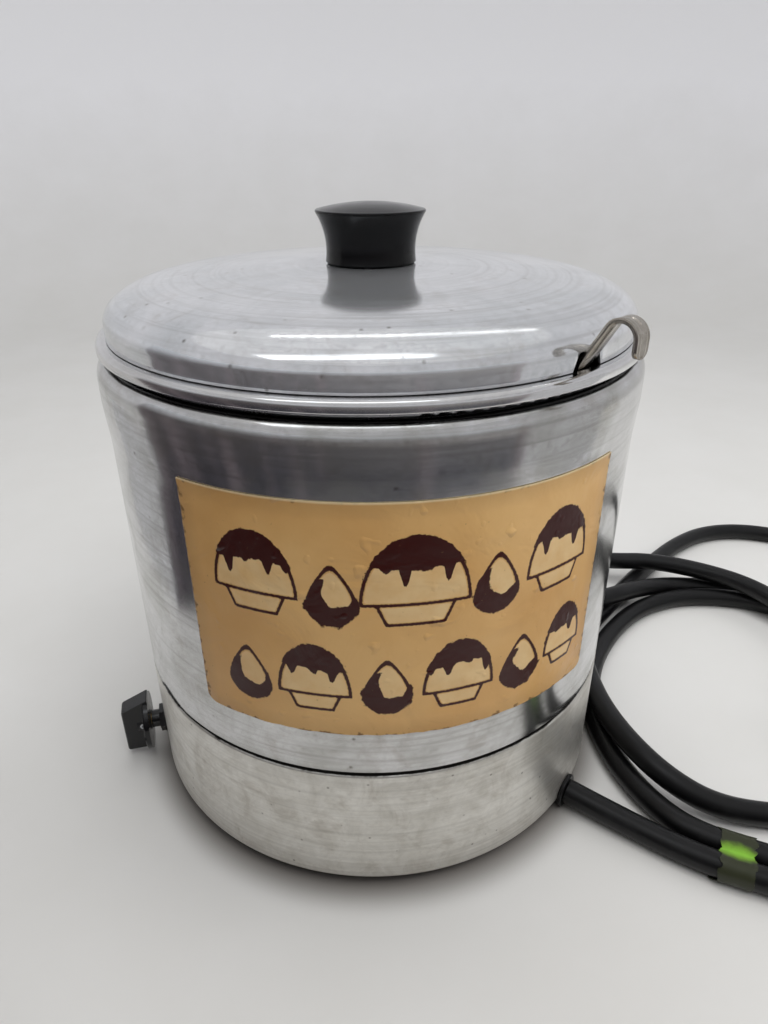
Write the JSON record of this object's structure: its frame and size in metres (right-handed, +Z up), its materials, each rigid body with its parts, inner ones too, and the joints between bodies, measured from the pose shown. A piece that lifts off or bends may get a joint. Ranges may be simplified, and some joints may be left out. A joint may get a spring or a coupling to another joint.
{
  "type": "hot fudge topping warmer",
  "caption": "Round countertop water-bath topping warmer: spun aluminium shells, lift-out pan, domed lid with knob, ladle, thermostat dial, rubber feet and power cord.",
  "frame": {"origin": "on the axis of the round shell, at the level of the surface that the rubber feet stand on", "axes": "+Z up along the shell's axis, -Y towards the middle of the front label, +X to the right when facing the label"},
  "size_m": [0.4918, 0.3849, 0.2383],
  "materials": {
    "brushed_shell": "polished spun aluminium shell",
    "polished_pan": "polished drawn stainless steel",
    "spun_lid": "spun stainless steel with fine circular grain",
    "base_aluminium": "dull spotted cast aluminium",
    "deep_drawn_aluminium": "plain drawn aluminium",
    "plate_steel": "zinc plated sheet",
    "fastener": "bright plated fastener",
    "black_knob": "glossy black phenolic",
    "black_dial": "satin black plastic",
    "brass": "turned brass",
    "foot_rubber": "matt black rubber",
    "cord_rubber": "smooth black rubber jacket",
    "plug_rubber": "moulded black rubber",
    "prong_brass": "nickel plated brass",
    "tape": "green adhesive tape",
    "label_film": "printed tan and brown film, worn at its edges",
    "insulation": "white glass fibre wrap",
    "mica_disc": "mica and resistance foil element",
    "thermostat_case": "brown moulded thermostat case",
    "nylon": "black nylon",
    "wire_black": "black wire jacket",
    "wire_white": "white wire jacket",
    "wire_green": "green wire jacket"
  },
  "bodies": {
    "warmer_body": {"base_shell": "base_aluminium", "outer_shell": "brushed_shell", "well": "deep_drawn_aluminium", "insulation_wrap": "insulation", "heater_disc": "mica_disc", "heater_plate": "plate_steel", "heater_studs": "fastener", "heater_nuts": "fastener", "thermostat_body": "thermostat_case", "thermostat_bushing": "black_dial", "thermostat_washer": "fastener", "thermostat_nut": "fastener", "bottom_plate": "plate_steel", "bottom_screws": "fastener", "foot_1": "foot_rubber", "foot_2": "foot_rubber", "foot_3": "foot_rubber", "foot_4": "foot_rubber", "foot_screws": "fastener", "foot_nuts": "fastener", "cord_bushing": "nylon", "cord_inner": "cord_rubber", "cord_clamp": "plate_steel", "clamp_screws": "fastener", "lead_line": "wire_black", "lead_heater": "wire_black", "lead_neutral": "wire_white", "lead_ground": "wire_green", "ground_screw": "fastener", "label": "label_film", "cord": "cord_rubber", "tape_wrap": "tape", "plug": "plug_rubber", "plug_prongs": "prong_brass"},
    "pan": {"inset_pan": "polished_pan"},
    "lid": {"lid": "spun_lid", "lid_knob": "black_knob", "knob_washer": "fastener", "knob_screw": "fastener"},
    "ladle": {"ladle_bowl": "polished_pan", "ladle_handle": "polished_pan", "ladle_rivets": "fastener"},
    "dial": {"thermostat_shaft": "brass", "thermostat_knob": "black_dial", "knob_insert": "brass", "knob_set_screw": "fastener"}
  },
  "joints": [
    {"name": "pan_lift", "type": "slide", "parent": "warmer_body", "child": "pan", "axis": [0, 0, 1], "range_m": [0, 0.13]},
    {"name": "lid_lift", "type": "slide", "parent": "pan", "child": "lid", "axis": [0, 0, 1], "range_m": [0, 0.1]},
    {"name": "ladle_lift", "type": "slide", "parent": "pan", "child": "ladle", "axis": [0.2952, -0.4311, 0.8526], "range_m": [0, 0.08]},
    {"name": "thermostat_turn", "type": "hinge", "parent": "warmer_body", "child": "dial", "pos_m": [-0.10075, -0.01309, 0.018], "axis": [0.9917, 0.1288, 0], "range_deg": [0, 270]}
  ]
}
